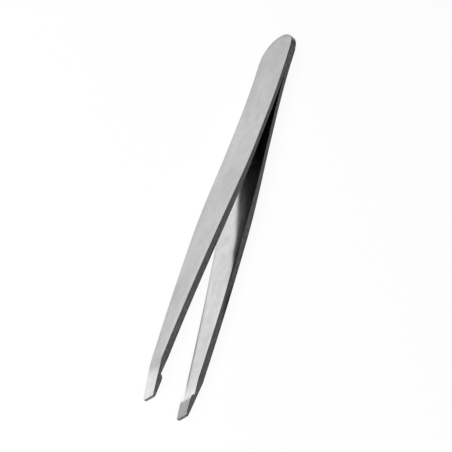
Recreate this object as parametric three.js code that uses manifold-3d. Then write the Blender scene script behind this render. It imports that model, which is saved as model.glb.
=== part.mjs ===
// Slant tweezers: two formed and ground steel blades, spot welded face to face at the head.
// The tweezers lie on their side edges. X runs from the head to the tips, Y is the way the blades
// spread, Z runs across the blades' width, and z = 0 is the plane of the lower edges.
// Each blade is drawn as two half-blades that meet at its flexure, where the steel bends in use.
import * as THREE from 'three';
import { mergeVertices } from 'three/addons/utils/BufferGeometryUtils.js';
import Module from 'manifold-3d';

const wasm = await Module();
wasm.setup();

// Driving dimensions, in millimetres and degrees.
const overallLength = 95;
const bladeWidth = 10.6;
const tipOpening = 7.68; // between the jaw faces at the tips, with the tweezers open
const edgeRadius = 0.12;

// Head: the end where the two blades lie face to face, ending in an arch.
const headThickness = 0.8;
const weldLength = 8.5;
const archHeight = 3.4;
const archPower = 2.3; // a higher power makes the arch flatter at its crown
const shoulderEase = 1;
const noseWidth = 1.6;
const headEdgeRadius = 0.3; // rounding of the outer edge round the arch
const headEdgeFade = 6; // length over which that rounding runs out

// Arms: thin where they flex, thicker where the fingers press.
const spreadAngle = 3.5;
const spreadBend = 16;
const gripThickness = 1.34;
const thinLength = 31.8; // from the head to where the thin flexure starts to thicken
const thickenLength = 25.5;
const bowAngle = 1.68;
const bowStart = 62.3; // from the head to where the arm starts to bow back
const bowBend = 21.3;
const taperStart = 35.6;
const taperEase = 19.2;
const neckWidth = 3.47;

// Jaws: the slanted tips, with a raised face on the inside and a ground bevel on the outside.
const slantAngle = 12.5;
const slantFade = 22;
const tipWidth = 2.95;
const tipThickness = 0.47;
const tipCornerRadius = 0.55;
const bevelLength = 7.5;
const jawLength = 3.35;
const jawStep = 1.2; // length of the rounded step from the neck up to the jaw face
const stepFootShare = 0.12;
const stepRiseShare = 0.75;
const stepCrownShare = 0.4;
const neckThickness = 0.68;
const reliefLength = 3.5;
const closedGap = 0.06; // left between the jaw faces when the tweezers are closed

// Flexure and weld.
const flexureAt = 26; // from the head to the middle of the bending length
const weldCount = 2;
const weldRadius = 1.5;
const weldDepth = 0.3; // how far each nugget reaches into a blade
const weldClearance = 0.05;
const firstWeldAt = 3;
const weldPitch = 3.6;

// Fineness of the drawn curves.
const curveSteps = 8;
const archSteps = 12;
const cornerSteps = 3;
const rimSteps = 4;
const weldSides = 32;
const leastStation = 0.03;

const { lerp, mapLinear, smoothstep, degToRad } = THREE.MathUtils;
const slopeOf = (angle) => Math.tan(degToRad(angle));
const tipSlant = slopeOf(slantAngle);
const spreadSlope = slopeOf(spreadAngle);
const armSlope = slopeOf(spreadAngle - bowAngle);
const halfWidth = bladeWidth / 2;
const tipHalfWidth = tipWidth / 2;
const halfOpening = tipOpening / 2;

// The arch is s = archHeight * (w / halfWidth) ^ archPower, cut flat where it is noseWidth wide.
const noseCut = archHeight * (noseWidth / bladeWidth) ** archPower;
const tipReach = tipSlant * (tipHalfWidth - tipCornerRadius)
  + tipCornerRadius * (Math.hypot(1, tipSlant) - 1);

// Stations s run along the blade from its nose. A station is a cut across the blade, which leans by
// the slant of the tip near the jaw.
const tipAt = overallLength - tipReach;
const bevelAt = tipAt - bevelLength;
const jawAt = tipAt - jawLength;
const neckAt = jawAt - jawStep;
const reliefAt = neckAt - reliefLength;
const spreadAt = weldLength + spreadBend / 2;
const bowAt = bowStart + bowBend / 2;
const thickAt = thinLength + thickenLength;
const rimEnd = archHeight + headEdgeFade;

const spreadLine = (s) => spreadSlope * (s - spreadAt);
const armLine = (s) => spreadLine(bowAt) + armSlope * (s - bowAt);
const skewAt = (s) => tipSlant * smoothstep(s, bevelAt - slantFade, bevelAt);

// Half the blade's width at each station: arch, shoulder, straight sides, taper, neck and tip.
function drawPlan() {
  const plan = new THREE.Path();
  const archWidth = (height) => halfWidth * (height / archHeight) ** (1 / archPower);
  plan.moveTo(0, noseWidth / 2);
  for (let i = 1; i <= archSteps; i++) {
    const width = lerp(noseWidth / 2, archWidth(archHeight - shoulderEase), i / archSteps);
    plan.lineTo(archHeight * (width / halfWidth) ** archPower - noseCut, width);
  }
  const shoulder = archHeight - noseCut;
  plan.quadraticCurveTo(shoulder, halfWidth, shoulder + shoulderEase, halfWidth);
  const taperFrom = taperStart + taperEase / 2;
  const taper = (halfWidth - neckWidth / 2) / (bevelAt - taperFrom);
  plan.lineTo(taperStart, halfWidth);
  plan.quadraticCurveTo(taperFrom, halfWidth, taperStart + taperEase, halfWidth - taper * taperEase / 2);
  plan.lineTo(bevelAt, neckWidth / 2);
  const cornerAt = tipAt - tipCornerRadius;
  plan.lineTo(cornerAt, tipHalfWidth);
  plan.absarc(cornerAt, tipHalfWidth - tipCornerRadius, tipCornerRadius, Math.PI / 2, 0, true);
  return plan.getPoints(curveSteps);
}

// The line that the inner face follows as far as the relief: flat at the weld, spread, then bowed.
function drawArmLine() {
  const arm = new THREE.Path();
  const half = spreadBend / 2;
  arm.moveTo(0, 0);
  arm.lineTo(weldLength, 0);
  arm.quadraticCurveTo(spreadAt, 0, spreadAt + half, spreadSlope * half);
  arm.lineTo(bowStart, spreadLine(bowStart));
  arm.quadraticCurveTo(bowAt, spreadLine(bowAt), bowStart + bowBend, armLine(bowStart + bowBend));
  arm.lineTo(tipAt, armLine(tipAt));
  return arm.getPoints(curveSteps);
}

// Height of an outline, a list of points in order of station, at one station.
function heightAt(outline, s) {
  const next = outline.findIndex((point, i) => i > 0 && point.x >= s);
  const b = outline[next < 0 ? outline.length - 1 : next];
  const a = outline[next < 0 ? outline.length - 2 : next - 1];
  return b.x === a.x ? b.y : mapLinear(s, a.x, b.x, a.y, b.y);
}

const planOutline = drawPlan();
const armOutline = drawArmLine();

// The outer face: the arm's line and the blade's thickness, then the ground bevel.
const thicknessAt = (s) => lerp(headThickness, gripThickness, smoothstep(s, thinLength, thickAt));
const armBackAt = (s) => heightAt(armOutline, s) + thicknessAt(s);
const outerAt = (s) => (s < bevelAt
  ? armBackAt(s)
  : mapLinear(s, bevelAt, tipAt, armBackAt(bevelAt), halfOpening + tipThickness));

// The blade turns about its inner face at the flexure. Closing turns the jaw face onto the middle
// plane, less half the closed gap, so open it stands at the closing angle.
const pivotHeight = spreadLine(flexureAt);
const tipRun = overallLength - flexureAt;
const tipRise = halfOpening - pivotHeight;
const closingAngle = Math.acos((closedGap / 2 - pivotHeight) / Math.hypot(tipRise, tipRun))
  - Math.atan2(tipRun, tipRise);
const jawFace = (x) => halfOpening - Math.tan(closingAngle) * (overallLength - x);

// The inner face: rounded nose, the arm's line, relief, neck and the rounded step up to the jaw.
function drawInner() {
  const inner = new THREE.Path();
  inner.moveTo(0, edgeRadius);
  inner.quadraticCurveTo(0, 0, edgeRadius, 0);
  armOutline.filter(({ x }) => x > edgeRadius && x < reliefAt).forEach(({ x, y }) => inner.lineTo(x, y));
  inner.lineTo(reliefAt, heightAt(armOutline, reliefAt));
  const neck = outerAt(neckAt) - neckThickness;
  const crownAt = neckAt + jawStep * stepCrownShare;
  inner.lineTo(neckAt, neck);
  inner.bezierCurveTo(
    neckAt + jawStep * stepFootShare, lerp(neck, jawFace(jawAt), stepRiseShare),
    crownAt, jawFace(crownAt),
    jawAt, jawFace(jawAt),
  );
  inner.lineTo(tipAt, jawFace(tipAt));
  return inner.getPoints(curveSteps);
}

const innerOutline = drawInner();

// Round the arch the outer edge is rounded wider, by each point's distance from the rim.
const rimRadiusAt = (s) => lerp(headEdgeRadius, edgeRadius, smoothstep(s, archHeight, rimEnd));
const rimPoints = [new THREE.Vector2(0, 0), ...planOutline].map(({ x, y }) => new THREE.Vector3(x, y, 0));
const rimLines = rimPoints.slice(1).map((end, i) => new THREE.Line3(rimPoints[i], end));

function rimDropAt(s, z, radius) {
  const point = new THREE.Vector3(s, Math.abs(z), 0);
  const nearest = new THREE.Vector3();
  const distance = Math.min(
    ...rimLines.map((line) => line.closestPointToPoint(point, true, nearest).distanceTo(point)),
  );
  return radius - Math.sqrt(radius ** 2 - Math.max(radius - distance, 0) ** 2);
}

// How fast the plan widens at a station.
function planSlopeAt(s) {
  const from = Math.max(s - leastStation, 0);
  const to = s + leastStation;
  return (heightAt(planOutline, to) - heightAt(planOutline, from)) / (to - from);
}

// One section of the blade: a rounded rectangle at a station, as points (x, depth, z).
function sectionAt(s) {
  const half = heightAt(planOutline, s);
  const outer = outerAt(s);
  const inner = heightAt(innerOutline, s);
  const radius = Math.min(edgeRadius, (outer - inner) / 3, half / 3);
  const skew = skewAt(s);
  const corners = [[0, -1], [1, -1], [1, 1], [0, 1]];
  const points = [];
  corners.forEach(([side, up], corner) => {
    const onRim = side === 1 && s < rimEnd;
    const reach = onRim ? Math.min(rimRadiusAt(s) * Math.hypot(1, planSlopeAt(s)), half / 2) : radius;
    for (let i = 0; i <= cornerSteps; i++) {
      const angle = (corner - 2 + i / cornerSteps) * Math.PI / 2;
      const z = up * (half - reach) + reach * Math.sin(angle);
      const x = s - skew * z;
      const face = s >= jawAt ? jawFace(x) : inner;
      const rounded = lerp(face + radius, outer - radius, side) + radius * Math.cos(angle);
      points.push([x, onRim ? outer - rimDropAt(s, z, rimRadiusAt(s)) : rounded, z]);
    }
  });
  return points;
}

function stationsBetween(from, to) {
  const rim = Array.from(
    { length: rimSteps },
    (_, i) => headEdgeRadius * (1 - Math.cos(i / rimSteps * Math.PI / 2)),
  );
  const thickening = Array.from(
    { length: curveSteps + 1 },
    (_, i) => thinLength + i / curveSteps * thickenLength,
  );
  const drawn = [planOutline, innerOutline].flat().map((point) => point.x)
    .concat(rim, thickening, bevelAt).sort((a, b) => a - b);
  const kept = [from];
  drawn.forEach((s) => {
    if (s - kept.at(-1) > leastStation && to - s > leastStation) kept.push(s);
  });
  return [...kept, to];
}

// A closed loft through the sections from one station to another. side is -1 for the front blade,
// which spreads to -Y, and 1 for the rear blade.
function loftBlade(from, to, side) {
  const sections = stationsBetween(from, to).map(sectionAt);
  const count = sections[0].length;
  const positions = sections.flat().flatMap(([x, depth, z]) => [x, side * depth, z]);
  const triangles = [];
  const face = (a, b, c) => triangles.push(...(side > 0 ? [a, b, c] : [a, c, b]));
  for (let ring = 0; ring < sections.length - 1; ring++) {
    for (let i = 0; i < count; i++) {
      const a = ring * count + i;
      const b = ring * count + (i + 1) % count;
      face(a, b, b + count);
      face(a, b + count, a + count);
    }
  }
  const last = (sections.length - 1) * count;
  for (let i = 1; i < count - 1; i++) {
    face(0, i + 1, i);
    face(last, last + i, last + i + 1);
  }
  const geometry = new THREE.BufferGeometry();
  geometry.setAttribute('position', new THREE.Float32BufferAttribute(positions, 3));
  geometry.setIndex(triangles);
  return geometry;
}

function toSolid(geometry) {
  const plain = geometry.clone();
  plain.deleteAttribute('normal');
  plain.deleteAttribute('uv');
  const merged = mergeVertices(plain);
  return new wasm.Manifold(new wasm.Mesh({
    numProp: 3,
    vertProperties: merged.attributes.position.array,
    triVerts: Uint32Array.from(merged.index.array),
  }));
}

function toGeometry(solid) {
  const mesh = solid.getMesh();
  const geometry = new THREE.BufferGeometry();
  geometry.setAttribute('position', new THREE.BufferAttribute(mesh.vertProperties, 3));
  geometry.setIndex(new THREE.BufferAttribute(mesh.triVerts, 1));
  return geometry;
}

// A weld nugget, or with a clearance the pocket that it fills, centred on the contact plane.
function weldDisc(index, clearance) {
  const radius = weldRadius + clearance;
  const disc = new THREE.CylinderGeometry(radius, radius, 2 * weldDepth, weldSides);
  return disc.translate(firstWeldAt + index * weldPitch, 0, 0);
}

const steel = { metalness: 1, roughness: 0.38 };
const weldSteel = { color: 0x8f9092, metalness: 1, roughness: 0.6 };

const tweezers = new THREE.Group();
tweezers.position.set(-overallLength / 2, 0, halfWidth);

function addMesh(name, geometry, look) {
  geometry.computeVertexNormals();
  const mesh = new THREE.Mesh(geometry, new THREE.MeshStandardMaterial(look));
  mesh.name = name;
  tweezers.add(mesh);
}

const blades = [
  { name: 'front_blade', side: -1, color: 0xc4c4c3 },
  { name: 'rear_blade', side: 1, color: 0xbdbdbd },
];
blades.forEach(({ name, side, color }) => {
  let head = toSolid(loftBlade(0, flexureAt, side));
  for (let i = 0; i < weldCount; i++) head = head.subtract(toSolid(weldDisc(i, weldClearance)));
  addMesh(`${name}_head`, toGeometry(head), { ...steel, color });
  addMesh(`${name}_arm`, loftBlade(flexureAt, tipAt, side), { ...steel, color });
});
for (let i = 0; i < weldCount; i++) addMesh(`weld_nugget_${i + 1}`, weldDisc(i, 0), weldSteel);

export default tweezers;
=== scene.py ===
import math

import bpy
import numpy as np
from mathutils import Matrix, Vector


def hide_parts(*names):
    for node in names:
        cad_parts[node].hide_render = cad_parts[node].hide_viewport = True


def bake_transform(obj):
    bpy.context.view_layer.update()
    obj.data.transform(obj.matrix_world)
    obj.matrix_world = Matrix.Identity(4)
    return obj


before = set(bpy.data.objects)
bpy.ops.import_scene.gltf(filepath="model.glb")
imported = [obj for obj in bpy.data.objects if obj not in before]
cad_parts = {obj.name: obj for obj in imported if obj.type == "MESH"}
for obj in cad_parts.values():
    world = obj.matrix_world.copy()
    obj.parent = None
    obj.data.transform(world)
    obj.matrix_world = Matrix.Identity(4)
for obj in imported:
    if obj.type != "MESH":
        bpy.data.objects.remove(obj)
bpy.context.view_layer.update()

# Slant tweezers. Each blade is one fine mesh that bends between the head's body and its arm's body.
# Its dimensions are the CAD part's, in millimetres and degrees, but for finer edges, a softer
# shoulder of the head's arch, a slightly thicker tip and faintly hollow inner faces.
MM = 0.001
OVERALL_LENGTH = 95
BLADE_WIDTH = 10.6
TIP_OPENING = 7.68
EDGE_RADIUS = 0.07
MOST_RADIUS_SHARE = 1 / 3
HEAD_EDGE_RADIUS = 0.3
HEAD_EDGE_FADE = 6
HEAD_THICKNESS = 0.8
WELD_LENGTH = 8.5
ARCH_HEIGHT = 3.4
ARCH_POWER = 2.3
SHOULDER_EASE = 1.6
NOSE_WIDTH = 1.6
SPREAD_ANGLE = 3.5
SPREAD_BEND = 16
GRIP_THICKNESS = 1.34
THIN_LENGTH = 31.8
THICKEN_LENGTH = 25.5
BOW_ANGLE = 1.68
BOW_START = 62.3
BOW_BEND = 21.3
TAPER_START = 35.6
TAPER_EASE = 19.2
NECK_WIDTH = 3.47
TIP_WIDTH = 2.95
SLANT_ANGLE = 12.5
SLANT_FADE = 22
TIP_THICKNESS = 0.52
TIP_CORNER_RADIUS = 0.55
BEVEL_LENGTH = 7.5
JAW_LENGTH = 3.35
JAW_STEP = 1.2
STEP_FOOT_SHARE = 0.12
STEP_RISE_SHARE = 0.75
STEP_CROWN_SHARE = 0.4
NECK_THICKNESS = 0.68
RELIEF_LENGTH = 3.5
CLOSED_GAP = 0.06
FLEXURE_AT = 26

# The inner faces are very slightly hollow across their width, over part of the arms.
HOLLOW_DEPTH = 0.06
HOLLOW_RISE, HOLLOW_FALL = (34, 50), (54, 59)

# Fineness of the visual meshes: counts of steps, shares, and lengths in millimetres. END_ROUNDING
# is the rounding of the tip's end face.
CURVE_STEPS = 24
ARCH_STEPS = 30
OUTER_STEPS = 180
STATION_STEP = 0.7
LEAST_STATION = 0.035
ARC_STEPS = 5
WIDE_STEPS = 10
SIDE_STEPS = 3
RIM_STEPS = 8
SUPPORT_SHARES = (0.02, 0.05)
SLOPE_STEP = 0.02
MOST_REACH_SHARE = 0.4
END_ROUNDING = 0.07
END_STEPS = 4
OUTLINE_MARGIN = 1
TINY = 1e-6

# Share of a rounded edge's turn at which the side's finish takes over, on the arms and on the rim.
TURN_SHARES = (0.25, 0.85)
RIM_TURN_SHARES = (0.6, 1.0)


def slope_of(angle):
    return math.tan(math.radians(angle))


def smoothstep(x, low, high):
    t = np.clip((x - low) / (high - low), 0, 1)
    return t * t * (3 - 2 * t)


TIP_SLANT = slope_of(SLANT_ANGLE)
SPREAD_SLOPE = slope_of(SPREAD_ANGLE)
ARM_SLOPE = slope_of(SPREAD_ANGLE - BOW_ANGLE)
HALF_WIDTH = BLADE_WIDTH / 2
TIP_HALF_WIDTH = TIP_WIDTH / 2
HALF_OPENING = TIP_OPENING / 2
NOSE_CUT = ARCH_HEIGHT * (NOSE_WIDTH / BLADE_WIDTH) ** ARCH_POWER
STRAIGHT_TIP = TIP_HALF_WIDTH - TIP_CORNER_RADIUS
TIP_REACH = TIP_SLANT * STRAIGHT_TIP + TIP_CORNER_RADIUS * (math.hypot(1, TIP_SLANT) - 1)
TIP_AT = OVERALL_LENGTH - TIP_REACH
BEVEL_AT = TIP_AT - BEVEL_LENGTH
JAW_AT = TIP_AT - JAW_LENGTH
NECK_AT = JAW_AT - JAW_STEP
RELIEF_AT = NECK_AT - RELIEF_LENGTH
SPREAD_AT = WELD_LENGTH + SPREAD_BEND / 2
BOW_AT = BOW_START + BOW_BEND / 2
THICK_AT = THIN_LENGTH + THICKEN_LENGTH
HEAD_X = -OVERALL_LENGTH / 2
RIM_END = ARCH_HEIGHT + HEAD_EDGE_FADE

# Painted light and shade of the faces, laid into the steel's tone where reflections would make it
# lighter or darker: how strong each is, and where it lies. A rise and a fall are stretches along the
# blade, and a width is measured from an edge of the face. The rim's painted dark is full on the lower
# half of the head and fades out across the upper half.
# Painted shade: a dark line round the head's rounded edge and a darker crown at its end, where the
# rounding reflects dark surroundings.
RIM_SHADE, RIM_WIDTH, RIM_FADE_ACROSS = 0.42, (0.22, 0.65), (0, 3.5)
CROWN_SHADE, CROWN_WIDTH, CROWN_FALL = 0.18, (0.3, 1.6), (1.4, 3.2)
# Painted shade darkens the outer face towards the head, and a painted light brightens a band along the
# arm.
HEAD_SHADE, HEAD_FALL = 0.07, (4, 28)
SWELL_SHADE, SWELL_RISE, SWELL_FALL = 0.05, (14, 24), (34, 44)
ARM_FALL = (BEVEL_AT - 2, BEVEL_AT + 1)
# Painted highlight along the upper edge of the outer face; its width also serves the inner face's painted
# highlight.
NEAR_EDGE_LIGHT, NEAR_EDGE_RISE, NEAR_EDGE_WIDTH = 0.09, (THICK_AT - 20, THICK_AT), (0, 2.2)
# Painted shade along the lower edge of the outer face.
FAR_SHADE, FAR_WIDTH = 0.08, (0, 0.9)
# Painted light on a stretch of the face before the bevel.
GLOW_SHADE, GLOW_RISE, GLOW_FALL = 0.08, (BEVEL_AT - 16, BEVEL_AT - 8), (BEVEL_AT + 2, BEVEL_AT + 4)
# Painted shade in a band where the face meets the bevel.
BEFORE_BEVEL_SHADE = 0.12
BEFORE_BEVEL_RISE, BEFORE_BEVEL_FALL = (BEVEL_AT - 2, BEVEL_AT + 0.8), (BEVEL_AT + 0.8, BEVEL_AT + 2.2)
RELIEF_FALL = (NECK_AT - 4.5, NECK_AT - 1.5)
# Painted shade along the inner face's lower edge, for the dark floor and contact shadow it mirrors.
LOW_EDGE_SHADE, LOW_EDGE_RISE, LOW_EDGE_WIDTH = 0.62, (THICK_AT - 9, BEVEL_AT - 5), (0.2, 0.8)
# Painted highlight on the inner face at the jaw's step.
STEP_SHADE, STEP_RISE, STEP_FALL = 0.22, (NECK_AT - 2.5, NECK_AT), (NECK_AT + 0.4, JAW_AT)
# Painted highlight along the inner face's upper edge.
INNER_NEAR_EDGE_LIGHT = 0.06
# Painted shade: a dark tail along the inner face's upper edge, continuing the dark reflection between the
# blades.
TAIL_SHADE, TAIL_RISE, TAIL_FALL, TAIL_WIDTH = 0.6, (56, 60), (63, 69), (0.15, 0.5)
# Painted light on the ground sides: lighter in the middle of their width, towards the tip and round the
# tip's corner.
SIDE_SHADE = 0.12
TIP_SIDE_SHADE, TIP_SIDE_RISE = 0.28, (THICK_AT, NECK_AT)
CORNER_SHADE, CORNER_RISE = 0.5, (TIP_AT - 2 * TIP_CORNER_RADIUS, TIP_AT - TIP_CORNER_RADIUS / 2)
# Painted shade: a dark patch on the rear blade's ground side, near its outer edge.
DARK_PATCH_SHADE, DARK_PATCH_AT, DARK_PATCH_REACH = 0.95, 69.5, 3.2

# Stretches over which one finish turns into the next.
BEVEL_RISE = (BEVEL_AT + 0.4, BEVEL_AT + 4)
JAW_RISE = (NECK_AT + 0.5, JAW_AT)
END_RISE = (TIP_AT - 2 * END_ROUNDING, TIP_AT - END_ROUNDING / 2)


def rising(x, stretch):
    return smoothstep(x, *stretch)


def falling(x, stretch):
    return 1 - smoothstep(x, *stretch)


def spread_line(s):
    return SPREAD_SLOPE * (s - SPREAD_AT)


def arm_line(s):
    return spread_line(BOW_AT) + ARM_SLOPE * (s - BOW_AT)


def skew_at(s):
    return TIP_SLANT * smoothstep(s, BEVEL_AT - SLANT_FADE, BEVEL_AT)


def bezier(*corners):
    """Points of a quadratic or cubic curve after its first corner."""
    order = len(corners) - 1
    t = np.linspace(0, 1, CURVE_STEPS + 1)[1:, None]
    return sum(
        math.comb(order, i) * t**i * (1 - t) ** (order - i) * np.array(c, float)
        for i, c in enumerate(corners)
    )


def draw_plan():
    ease_from = ARCH_HEIGHT - SHOULDER_EASE
    widths = np.linspace(
        NOSE_WIDTH / 2, HALF_WIDTH * (ease_from / ARCH_HEIGHT) ** (1 / ARCH_POWER), ARCH_STEPS
    )
    arch = np.column_stack([ARCH_HEIGHT * (widths / HALF_WIDTH) ** ARCH_POWER - NOSE_CUT, widths])
    shoulder = ARCH_HEIGHT - NOSE_CUT
    taper_from = TAPER_START + TAPER_EASE / 2
    taper = (HALF_WIDTH - NECK_WIDTH / 2) / (BEVEL_AT - taper_from)
    turn = np.linspace(math.pi / 2, 0, CURVE_STEPS + 1)
    corner = TIP_AT - TIP_CORNER_RADIUS, TIP_HALF_WIDTH - TIP_CORNER_RADIUS
    return np.vstack([
        arch,
        bezier(arch[-1], (shoulder, HALF_WIDTH), (shoulder + SHOULDER_EASE, HALF_WIDTH)),
        (TAPER_START, HALF_WIDTH),
        bezier(
            (TAPER_START, HALF_WIDTH), (taper_from, HALF_WIDTH),
            (TAPER_START + TAPER_EASE, HALF_WIDTH - taper * TAPER_EASE / 2),
        ),
        (BEVEL_AT, NECK_WIDTH / 2),
        np.column_stack([
            corner[0] + TIP_CORNER_RADIUS * np.cos(turn), corner[1] + TIP_CORNER_RADIUS * np.sin(turn),
        ]),
    ])


def draw_middle_line():
    """The inner face's line without the jaw: flat at the weld, spread, then bowed towards the tip."""
    half = SPREAD_BEND / 2
    bow_end = BOW_START + BOW_BEND
    return np.vstack([
        (0, 0),
        (WELD_LENGTH, 0),
        bezier((WELD_LENGTH, 0), (SPREAD_AT, 0), (SPREAD_AT + half, SPREAD_SLOPE * half)),
        (BOW_START, spread_line(BOW_START)),
        bezier(
            (BOW_START, spread_line(BOW_START)), (BOW_AT, spread_line(BOW_AT)),
            (bow_end, arm_line(bow_end)),
        ),
        (TIP_AT, arm_line(TIP_AT)),
    ])


def draw_outer():
    s = np.linspace(0, BEVEL_AT, OUTER_STEPS)
    thickness = HEAD_THICKNESS + (GRIP_THICKNESS - HEAD_THICKNESS) * smoothstep(s, THIN_LENGTH, THICK_AT)
    face = np.column_stack([s, height_at(MIDDLE, s) + thickness])
    return np.vstack([face, (TIP_AT, HALF_OPENING + TIP_THICKNESS)])


def height_at(outline, s):
    return np.interp(s, outline[:, 0], outline[:, 1])


PLAN = draw_plan()
MIDDLE = draw_middle_line()
OUTER = draw_outer()
PIVOT_HEIGHT = spread_line(FLEXURE_AT)
TIP_RUN = OVERALL_LENGTH - FLEXURE_AT
TIP_RISE = HALF_OPENING - PIVOT_HEIGHT
CLOSED_TURN = math.acos((CLOSED_GAP / 2 - PIVOT_HEIGHT) / math.hypot(TIP_RISE, TIP_RUN))
CLOSING = CLOSED_TURN - math.atan2(TIP_RUN, TIP_RISE)


def jaw_face(x):
    return HALF_OPENING - math.tan(CLOSING) * (OVERALL_LENGTH - x)


def draw_inner():
    neck = height_at(OUTER, NECK_AT) - NECK_THICKNESS
    jaw = jaw_face(JAW_AT)
    foot_at = NECK_AT + JAW_STEP * STEP_FOOT_SHARE
    crown_at = NECK_AT + JAW_STEP * STEP_CROWN_SHARE
    arm = MIDDLE[MIDDLE[:, 0] < RELIEF_AT]
    return np.vstack([
        (0, EDGE_RADIUS),
        bezier((0, EDGE_RADIUS), (0, 0), (EDGE_RADIUS, 0)),
        arm[1:],
        (RELIEF_AT, height_at(MIDDLE, RELIEF_AT)),
        (NECK_AT, neck),
        bezier(
            (NECK_AT, neck), (foot_at, neck + (jaw - neck) * STEP_RISE_SHARE),
            (crown_at, jaw_face(crown_at)), (JAW_AT, jaw),
        ),
        (TIP_AT, jaw_face(TIP_AT)),
    ])


INNER = draw_inner()


def ring_layout():
    """Once round a section: run ("arc" or "face"), the name of its face or corner, share along it,
    and the quarter turn at which the corner's arc starts."""
    support = np.array(SUPPORT_SHARES)
    wide = np.unique(np.concatenate([np.linspace(0, 1, WIDE_STEPS + 1), support, 1 - support]))
    side = np.linspace(0, 1, SIDE_STEPS + 1)
    arc = np.linspace(0, 1, ARC_STEPS + 1)
    layout = []
    faces = (("bottom", side, -2), ("outer", wide, -1), ("top", side, 0), ("inner", wide, 1))
    for kind, shares, start in faces:
        layout += [("arc", kind, t, start) for t in arc[:-1]]
        layout += [("face", kind, t, start) for t in shares[:-1]]
    return layout


LAYOUT = ring_layout()
GROUND_SIDES = ("bottom", "top")

# Each corner's arc, named after the face that follows it: whether it is on the outer side, and up
# or down.
CORNERS = {"bottom": (False, -1), "outer": (True, -1), "top": (True, 1), "inner": (False, 1)}
NEXT_CORNER = {"bottom": "outer", "outer": "top", "top": "inner", "inner": "bottom"}
HALF_HEAD = PLAN[PLAN[:, 0] < RIM_END + OUTLINE_MARGIN]
HEAD_OUTLINE = np.vstack([HALF_HEAD[::-1] * (1, -1), HALF_HEAD])


def outer_radius(s):
    return HEAD_EDGE_RADIUS + (EDGE_RADIUS - HEAD_EDGE_RADIUS) * smoothstep(s, ARCH_HEIGHT, RIM_END)


def edge_distance(s, z):
    """Distance of a point in the head's plan from the plan's outline."""
    a, b = HEAD_OUTLINE[:-1], HEAD_OUTLINE[1:]
    run = b - a
    along = ((np.array([s, z]) - a) * run).sum(1)
    share = np.clip(along / np.maximum((run * run).sum(1), TINY**2), 0, 1)
    return float(np.min(np.hypot(*(a + run * share[:, None] - (s, z)).T)))


def edge_drop(distance, radius):
    return radius - math.sqrt(max(radius**2 - max(radius - distance, 0) ** 2, 0))


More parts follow.
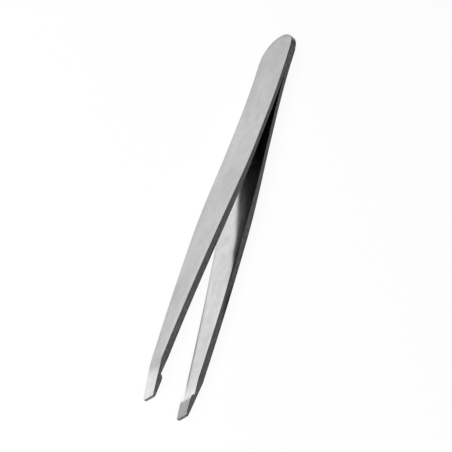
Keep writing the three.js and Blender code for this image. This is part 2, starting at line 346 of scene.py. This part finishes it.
class Section:
    """One rounded section across a blade, at s from the head. On one blade a painted shade darkens a
    patch of its ground side.
    """

    def __init__(self, s, inset, has_dark_patch):
        self.s = s
        self.has_dark_patch = has_dark_patch
        self.inset = inset
        self.half = height_at(PLAN, s) - inset
        self.outer = height_at(OUTER, s) - inset
        self.inner = height_at(INNER, s) + inset
        self.skew = skew_at(s)
        self.in_head = s < RIM_END
        self.hollow = HOLLOW_DEPTH * rising(s, HOLLOW_RISE) * falling(s, HOLLOW_FALL)
        most_radius = min(self.outer - self.inner, self.half) * MOST_RADIUS_SHARE
        self.inner_radius = min(EDGE_RADIUS, most_radius)
        self.radius = self.reach = self.inner_radius
        if self.in_head:
            step = height_at(PLAN, s + SLOPE_STEP) - height_at(PLAN, max(s - SLOPE_STEP, 0))
            self.radius = outer_radius(s)
            reach = self.radius * math.hypot(1, step / (2 * SLOPE_STEP))
            self.reach = min(reach, self.half * MOST_REACH_SHARE)

    def outer_point(self, up, angle):
        z = up * (self.half - self.reach * (1 - abs(math.sin(angle))))
        if not self.in_head:
            return np.array([self.s - self.skew * z, self.outer - self.radius * (1 - math.cos(angle)), z])
        at_edge = math.cos(angle) < TINY
        drop = self.radius if at_edge else edge_drop(edge_distance(self.s, z), self.radius)
        return np.array([self.s, self.outer - drop, z])

    def inner_point(self, up, angle):
        z = up * (self.half - self.inner_radius) + self.inner_radius * math.sin(angle)
        x = self.s - self.skew * z
        face = jaw_face(x) + self.inset if self.s >= JAW_AT else self.inner
        return np.array([x, face + self.inner_radius * (1 + math.cos(angle)), z])

    def corner_point(self, kind, angle):
        is_outer, up = CORNERS[kind]
        return self.outer_point(up, angle) if is_outer else self.inner_point(up, angle)

    def point(self, run, kind, t, start):
        """A point of the ring and the share of the ground side's finish there."""
        if run == "arc":
            share = t if kind in GROUND_SIDES else 1 - t
            on_rim = (self.radius - self.inner_radius) / (HEAD_EDGE_RADIUS - EDGE_RADIUS)
            turn_shares = [a + (b - a) * on_rim for a, b in zip(TURN_SHARES, RIM_TURN_SHARES)]
            return self.corner_point(kind, (start + t) * math.pi / 2), float(rising(share, turn_shares))
        turn = (start + 1) * math.pi / 2
        a = self.corner_point(kind, turn)
        here = a + (self.corner_point(NEXT_CORNER[kind], turn) - a) * t
        if kind == "outer" and self.in_head:
            here[1] = self.outer - edge_drop(edge_distance(self.s, here[2]), self.radius)
        if kind == "inner":
            here[1] += self.hollow * math.sin(math.pi * t) ** 2
        return here, float(kind in GROUND_SIDES)

    def painted_light(self, run, kind, t, z):
        """Painted light and shade of one face: broad lights and darks laid on top of its finish."""
        if run == "face" and kind in GROUND_SIDES:
            return self.painted_side_light(t, self.has_dark_patch and kind == "top")
        on_outer_side = CORNERS[kind][0]
        return self.painted_outer_light(z) if on_outer_side else self.painted_inner_light(z)

    # Painted light on a ground side, and the painted dark patch on one blade.
    def painted_side_light(self, t, has_dark_patch):
        s = self.s
        middle = SIDE_SHADE * (1 - 2 * abs(2 * t - 1))
        tip = TIP_SIDE_SHADE * rising(s, TIP_SIDE_RISE)
        corner = CORNER_SHADE * rising(s, CORNER_RISE)
        dark_patch = DARK_PATCH_SHADE * (1 - t) * math.exp(-(((s - DARK_PATCH_AT) / DARK_PATCH_REACH) ** 2)) if has_dark_patch else 0
        return float((1 + middle) * (1 + tip) * (1 + corner) * (1 - dark_patch))

    # Painted light and shade of the outer face and its rounded edges.
    def painted_outer_light(self, z):
        s, low, high = self.s, self.half + z, self.half - z
        on_arm = falling(s, ARM_FALL)
        head = HEAD_SHADE * falling(s, HEAD_FALL)
        swell = SWELL_SHADE * rising(s, SWELL_RISE) * falling(s, SWELL_FALL)
        near_edge_light = NEAR_EDGE_LIGHT * rising(s, NEAR_EDGE_RISE) * on_arm * falling(high, NEAR_EDGE_WIDTH)
        far = FAR_SHADE * on_arm * falling(low, FAR_WIDTH)
        before_bevel = BEFORE_BEVEL_SHADE * rising(s, BEFORE_BEVEL_RISE) * falling(s, BEFORE_BEVEL_FALL)
        glow = GLOW_SHADE * rising(s, GLOW_RISE) * falling(s, GLOW_FALL)
        margin = edge_distance(s, z) if self.in_head else math.inf
        rim = RIM_SHADE * falling(margin, RIM_WIDTH) * falling(z, RIM_FADE_ACROSS)
        crown = CROWN_SHADE * falling(margin, CROWN_WIDTH) * falling(s, CROWN_FALL)
        lights = (1 + swell) * (1 + near_edge_light) * (1 + glow)
        darks = (1 - head) * (1 - far) * (1 - before_bevel) * (1 - rim) * (1 - crown)
        return float(lights * darks)

    # Painted light and shade of the inner face.
    def painted_inner_light(self, z):
        s, low, high = self.s, self.half + z, self.half - z
        on_arm = falling(s, RELIEF_FALL)
        low_edge = LOW_EDGE_SHADE * rising(s, LOW_EDGE_RISE) * on_arm * falling(low, LOW_EDGE_WIDTH)
        step = STEP_SHADE * rising(s, STEP_RISE) * falling(s, STEP_FALL)
        light = INNER_NEAR_EDGE_LIGHT * on_arm * falling(high, NEAR_EDGE_WIDTH)
        tail = TAIL_SHADE * rising(s, TAIL_RISE) * falling(s, TAIL_FALL) * falling(high, TAIL_WIDTH)
        return float((1 - low_edge) * (1 + step) * (1 + light) * (1 - tail))


def stations():
    """Places of the sections along a blade, each with the amount that it is drawn in by."""
    rim = HEAD_EDGE_RADIUS * (1 - np.cos(np.linspace(0, math.pi / 2, RIM_STEPS)))
    even = np.arange(0, TIP_AT, STATION_STEP)
    drawn = np.unique(np.concatenate([PLAN[:, 0], INNER[:, 0], rim, even, [BEVEL_AT]]))
    kept = [0.0]
    for s in drawn:
        if s - kept[-1] > LEAST_STATION and TIP_AT - END_ROUNDING - s > LEAST_STATION:
            kept.append(float(s))
    rings = [(s, 0.0) for s in kept]
    for i in range(END_STEPS + 1):
        turn = i / END_STEPS * math.pi / 2
        rings.append((TIP_AT - END_ROUNDING * (1 - math.sin(turn)), END_ROUNDING * (1 - math.cos(turn))))
    return rings


def ring_faces(rings, side):
    """Quads between the sections and a cap at each end, facing outwards."""
    count = len(LAYOUT)
    faces = []
    for ring in range(rings - 1):
        for i in range(count):
            a = ring * count + i
            b = ring * count + (i + 1) % count
            faces.append((a, b, b + count, a + count))
    last = (rings - 1) * count
    faces += [tuple(reversed(range(count))), tuple(range(last, last + count))]
    return faces if side > 0 else [face[::-1] for face in faces]


def add_attribute(mesh, name, kind, key, values):
    attribute = mesh.attributes.new(name, kind, "POINT")
    attribute.data.foreach_set(key, np.array(values, np.float32).ravel())


def build_blade(name, side):
    """The blade's mesh. Its zones are the shares of the side's, bevel's, jaw's and inner finish."""
    verts, zones, grain, painted_lights = [], [], [], []
    rings = stations()
    for s, inset in rings:
        section = Section(s, inset, side > 0)
        bevel = float(rising(s, BEVEL_RISE))
        jaw = float(rising(s, JAW_RISE))
        end = float(rising(s, END_RISE)) if s > 0 else 1.0
        for run, kind, t, start in LAYOUT:
            (x, depth, z), side_share = section.point(run, kind, t, start)
            inward = float(kind == "inner")
            verts.append(((x + HEAD_X) * MM, side * depth * MM, (z + HALF_WIDTH) * MM))
            zones.append((max(side_share, end), bevel * (kind == "outer"), jaw * inward, inward))
            grain.append((s, z, side * depth))
            # The face's painted light and shade, kept as a factor on the tone.
            painted_lights.append(section.painted_light(run, kind, t, z))
    mesh = bpy.data.meshes.new(name)
    mesh.from_pydata(verts, [], ring_faces(len(rings), side))
    mesh.polygons.foreach_set("use_smooth", [len(face.vertices) == 4 for face in mesh.polygons])
    add_attribute(mesh, "zones", "FLOAT_COLOR", "color", zones)
    add_attribute(mesh, "grain", "FLOAT_VECTOR", "vector", grain)
    add_attribute(mesh, "painted_light", "FLOAT", "value", painted_lights)
    mesh.update()
    blade = bpy.data.objects.new(name, mesh)
    bpy.context.scene.collection.objects.link(blade)
    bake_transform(blade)
    return blade


WHITE = (1, 1, 1, 1)
NOISE_MIDDLE = 0.5


class Graph:
    """A short way to write a material's nodes."""

    def __init__(self, name):
        self.material = bpy.data.materials.new(name)
        self.material.use_nodes = True
        self.tree = self.material.node_tree
        self.shader = self.tree.nodes["Principled BSDF"]

    def add(self, kind, inputs=None, **settings):
        node = self.tree.nodes.new(kind)
        for key, value in settings.items():
            setattr(node, key, value)
        for key, value in (inputs or {}).items():
            self.put(node.inputs[key], value)
        return node

    def put(self, socket, value):
        if isinstance(value, bpy.types.NodeSocket):
            self.tree.links.new(value, socket)
        else:
            socket.default_value = value

    def maths(self, operation, *values):
        node = self.add("ShaderNodeMath", operation=operation)
        for socket, value in zip(node.inputs, values):
            self.put(socket, value)
        return node.outputs[0]

    def noise(self, place, look):
        """Noise centred on zero: its scale, its turn in degrees, detail, roughness and spread."""
        scale, turn, detail, rough, spread = look
        rotation = (0, 0, math.radians(turn))
        place = self.add("ShaderNodeMapping", {"Vector": place, "Rotation": rotation, "Scale": scale})
        texture = self.add(
            "ShaderNodeTexNoise",
            {"Vector": place.outputs[0], "Scale": 1.0, "Detail": detail, "Roughness": rough},
        )
        centred = self.maths("SUBTRACT", texture.outputs["Fac"], NOISE_MIDDLE)
        return self.maths("MULTIPLY", centred, spread)

    def around_one(self, value, noise):
        """A value that varies by a noise round itself."""
        return self.maths("MULTIPLY", value, self.maths("ADD", noise, 1.0))

    def blend(self, share, low, high):
        node = self.add("ShaderNodeMix", data_type="FLOAT")
        for key, value in (("Factor", share), ("A", low), ("B", high)):
            self.put(node.inputs[key], value)
        return node.outputs[0]

    def colour(self, tone, tint):
        node = self.add("ShaderNodeCombineColor")
        for socket, share in zip(node.inputs, tint):
            self.put(socket, self.maths("MULTIPLY", tone, share))
        return node.outputs[0]


# Tone and roughness of each finish of the blades. SIDE_TONE is darker than ground steel: the sides' dull
# finish, and painted shade for the dark they reflect.
FACE_TONE, SIDE_TONE, BEVEL_TONE, JAW_TONE, INNER_TONE = 0.53, 0.15, 0.83, 0.41, 0.69
FACE_ROUGH, SIDE_ROUGH, BEVEL_ROUGH, JAW_ROUGH, INNER_ROUGH = 0.30, 0.42, 0.34, 0.36, 0.14
STEEL_TINT = (1.0, 0.998, 0.993)

# Noises of the steel: scale per millimetre along, across and through, turn, detail, roughness, spread.
BROAD = (0.10, 0.16, 0.16), 0, 2.0, 0.5, 0.40
CLOUDS = (0.45, 0.6, 0.6), 0, 3.0, 0.6, 0.36
HATCH = (1.1, 3.2, 3.2), 38, 3.0, 0.6, 0.24
GRIT = (3.6, 3.6, 3.6), 0, 4.0, 0.7, 0.42
GRIND = (1.2, 4.0, 4.0), 52, 4.0, 0.65, 2.0
INNER_MARKS_SHARE = 0.6
ROUGH_SPREAD = 0.2
MARK_DEPTH = 0.0007
GRIND_DEPTH = 0.0010


def blade_steel(name, seed):
    """Satin steel whose tone, roughness and marks change with the zones of the blade, and whose tone
    carries the blade's painted light and shade.
    """
    g = Graph(name)
    grain = g.add("ShaderNodeAttribute", attribute_name="grain").outputs["Vector"]
    place = g.add("ShaderNodeVectorMath", {0: grain, 1: (seed, 0, 0)}, operation="ADD").outputs[0]
    zones = g.add("ShaderNodeAttribute", attribute_name="zones")
    parts = g.add("ShaderNodeSeparateColor", {"Color": zones.outputs["Color"]})
    side, bevel, jaw = parts.outputs[0], parts.outputs[1], parts.outputs[2]
    inner = zones.outputs["Alpha"]
    # The painted light and shade, a factor on the tones below.
    painted_light = g.add("ShaderNodeAttribute", attribute_name="painted_light").outputs["Fac"]

    def by_zone(face_value, inner_value, bevel_value, jaw_value):
        value = g.blend(inner, face_value, inner_value)
        value = g.blend(bevel, value, bevel_value)
        return g.blend(jaw, value, jaw_value)

    broad, grind = g.noise(place, BROAD), g.noise(place, GRIND)
    marks = g.maths("ADD", g.noise(place, HATCH), g.noise(place, GRIT))
    marks = g.maths("MULTIPLY", marks, g.blend(inner, 1.0, INNER_MARKS_SHARE))
    soft = g.maths("ADD", g.maths("ADD", broad, g.noise(place, CLOUDS)), marks)

    polished = g.maths("MULTIPLY", by_zone(FACE_TONE, INNER_TONE, BEVEL_TONE, JAW_TONE), painted_light)
    ground = g.maths("MULTIPLY", SIDE_TONE, painted_light)
    tone = g.blend(side, g.around_one(polished, soft), g.around_one(ground, g.maths("ADD", grind, broad)))
    g.put(g.shader.inputs["Base Color"], g.colour(tone, STEEL_TINT))

    rough = g.blend(side, by_zone(FACE_ROUGH, INNER_ROUGH, BEVEL_ROUGH, JAW_ROUGH), SIDE_ROUGH)
    rough = g.maths("ADD", rough, g.maths("MULTIPLY", soft, ROUGH_SPREAD))
    g.put(g.shader.inputs["Roughness"], rough)

    face_relief = g.maths("MULTIPLY", marks, MARK_DEPTH)
    height = g.blend(side, face_relief, g.maths("MULTIPLY", grind, GRIND_DEPTH))
    bump = g.add("ShaderNodeBump", {"Height": height, "Distance": MM, "Strength": 1.0})
    g.put(g.shader.inputs["Normal"], bump.outputs[0])
    g.shader.inputs["Metallic"].default_value = 1.0
    return g.material


# Dull melted steel of the weld nuggets, in the frame's metres.
WELD_TONE, WELD_TINT = 0.28, (1.0, 1.0, 1.03)
WELD_ROUGH, WELD_ROUGH_SPREAD = 0.6, 0.4
WELD_BLOTCH = (900.0, 900.0, 900.0), 0, 4.0, 0.6, 0.5
WELD_RELIEF = 0.02


def weld_steel():
    g = Graph("weld_steel")
    place = g.add("ShaderNodeTexCoord").outputs["Object"]
    blotch = g.noise(place, WELD_BLOTCH)
    tone = g.around_one(WELD_TONE, blotch)
    g.put(g.shader.inputs["Base Color"], g.colour(tone, WELD_TINT))
    rough = g.maths("ADD", g.maths("MULTIPLY", blotch, WELD_ROUGH_SPREAD), WELD_ROUGH)
    g.put(g.shader.inputs["Roughness"], rough)
    bump = g.add("ShaderNodeBump", {"Height": blotch, "Distance": WELD_RELIEF * MM})
    g.put(g.shader.inputs["Normal"], bump.outputs[0])
    g.shader.inputs["Metallic"].default_value = 1.0
    return g.material


# Each blade: its name, its side of the middle plane, its arm's body, and an offset for its noises.
BLADES = (("front_blade", -1, "front_arm", 0.0), ("rear_blade", 1, "rear_arm", 137.0))

for name, side, arm, seed in BLADES:
    blade = build_blade(name, side)
    blade.data.materials.append(blade_steel(name + "_steel", seed))
    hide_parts(name + "_head", name + "_arm")

nugget_material = weld_steel()
for node in ("weld_nugget_1", "weld_nugget_2"):
    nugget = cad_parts[node]
    nugget.data.materials.clear()
    nugget.data.materials.append(nugget_material)

# Floor: white to the camera and in the steel's first reflection, and it keeps the object's shadow.
# In later reflections and as a source of light it is as dim as MIRRORED_FLOOR_TONE. FIRST_BOUNCE
# lies between the ray depths of a first and a second reflection. The floor is in metres.
FLOOR_SIZE = 6.0
FLOOR_DROP = 0.00003
FLOOR_TONE = 0.9
MIRRORED_FLOOR_TONE = 0.22
FLOOR_WHITE_SHARE = 0.88
FLOOR_MIRROR_SHARE = 0.96
FLOOR_SPECKLE = (400.0, 400.0, 400.0), 0, 3.0, 0.6, 0.02
FIRST_BOUNCE = 1.5
PLAIN = (1.0, 1.0, 1.0)


def floor_material():
    g = Graph("floor")
    g.tree.nodes.remove(g.shader)
    place = g.add("ShaderNodeTexCoord").outputs["Object"]
    rays = g.add("ShaderNodeLightPath")
    seen_tone = g.blend(rays.outputs["Is Camera Ray"], MIRRORED_FLOOR_TONE, FLOOR_TONE)
    tone = g.maths("ADD", g.noise(place, FLOOR_SPECKLE), seen_tone)
    paper = g.add("ShaderNodeBsdfDiffuse", {"Color": g.colour(tone, PLAIN)})
    white = g.add("ShaderNodeEmission", {"Color": WHITE, "Strength": 1.0})
    first = g.maths("LESS_THAN", rays.outputs["Ray Depth"], FIRST_BOUNCE)
    mirrored = g.maths("MULTIPLY", rays.outputs["Is Glossy Ray"], first)
    mirrored = g.maths("MULTIPLY", mirrored, FLOOR_MIRROR_SHARE)
    seen = g.maths("MULTIPLY", rays.outputs["Is Camera Ray"], FLOOR_WHITE_SHARE)
    share = g.maths("ADD", seen, mirrored)
    mix = g.add("ShaderNodeMixShader", {0: share, 1: paper.outputs[0], 2: white.outputs[0]})
    g.put(g.tree.nodes["Material Output"].inputs["Surface"], mix.outputs[0])
    return g.material


def add_floor():
    half = FLOOR_SIZE / 2
    corners = [(-half, -half, 0), (half, -half, 0), (half, half, 0), (-half, half, 0)]
    mesh = bpy.data.meshes.new("floor")
    mesh.from_pydata(corners, [], [(0, 1, 2, 3)])
    floor = bpy.data.objects.new("floor", mesh)
    floor.location.z = -FLOOR_DROP
    bpy.context.scene.collection.objects.link(floor)
    floor.data.materials.append(floor_material())


# World: dim soft light, white to the camera.
WORLD_LIGHT = 0.09


def add_world():
    world = bpy.data.worlds.new("studio")
    bpy.context.scene.world = world
    world.use_nodes = True
    nodes, links = world.node_tree.nodes, world.node_tree.links
    background = nodes["Background"]
    rays = nodes.new("ShaderNodeLightPath")
    level = nodes.new("ShaderNodeMix")
    level.data_type = "FLOAT"
    links.new(rays.outputs["Is Camera Ray"], level.inputs["Factor"])
    level.inputs["A"].default_value = WORLD_LIGHT
    level.inputs["B"].default_value = 1.0
    links.new(level.outputs[0], background.inputs["Strength"])
    background.inputs["Color"].default_value = WHITE


# Round soft lamps: name, direction from the object, distance, size and power.
LAMPS = (
    ("key", (0.55, -0.45, 0.7), 0.8, 0.35, 8.5),
    ("fill", (-0.514, 0.448, 0.731), 0.8, 0.7, 0.7),
)


def softbox(name, direction, distance, size, power):
    light = bpy.data.lights.new(name, "AREA")
    light.shape = "DISK"
    light.size = size
    light.energy = power
    lamp = bpy.data.objects.new(name, light)
    bpy.context.scene.collection.objects.link(lamp)
    towards = Vector(direction).normalized()
    lamp.location = towards * distance
    lamp.rotation_mode = "QUATERNION"
    lamp.rotation_quaternion = towards.to_track_quat("Z", "Y")


# Camera, at the photograph's viewing angle. The pixel values are those of a square of PIXELS.
VIEW_RIGHT = (-0.25542, 0.73719, 0.62554)
VIEW_FORWARD = (-0.53233, 0.43287, -0.72749)
AIM = (0.0, 0.0, 0.0053)
CAMERA_DISTANCE = 0.26234
PIXELS = 452
FOCAL_PIXELS = 1260
AIM_PIXEL = (229.8, 206.05)
SENSOR = 36.0
CLIP_FROM, CLIP_TO = 0.01, 20


def add_camera():
    data = bpy.data.cameras.new("camera")
    camera = bpy.data.objects.new("camera", data)
    bpy.context.scene.collection.objects.link(camera)
    right, forward = Vector(VIEW_RIGHT), Vector(VIEW_FORWARD)
    forward.normalize()
    right = (right - forward * right.dot(forward)).normalized()
    down = forward.cross(right)
    turn = Matrix((right, -down, -forward)).transposed().to_4x4()
    camera.matrix_world = Matrix.Translation(Vector(AIM) - forward * CAMERA_DISTANCE) @ turn
    data.sensor_width = SENSOR
    data.lens = FOCAL_PIXELS / PIXELS * SENSOR
    data.shift_x = -(AIM_PIXEL[0] - PIXELS / 2) / PIXELS
    data.shift_y = (AIM_PIXEL[1] - PIXELS / 2) / PIXELS
    data.clip_start = CLIP_FROM
    data.clip_end = CLIP_TO
    bpy.context.scene.camera = camera


add_floor()
add_world()
for lamp in LAMPS:
    softbox(*lamp)
add_camera()
bpy.context.scene.view_settings.view_transform = "Standard"
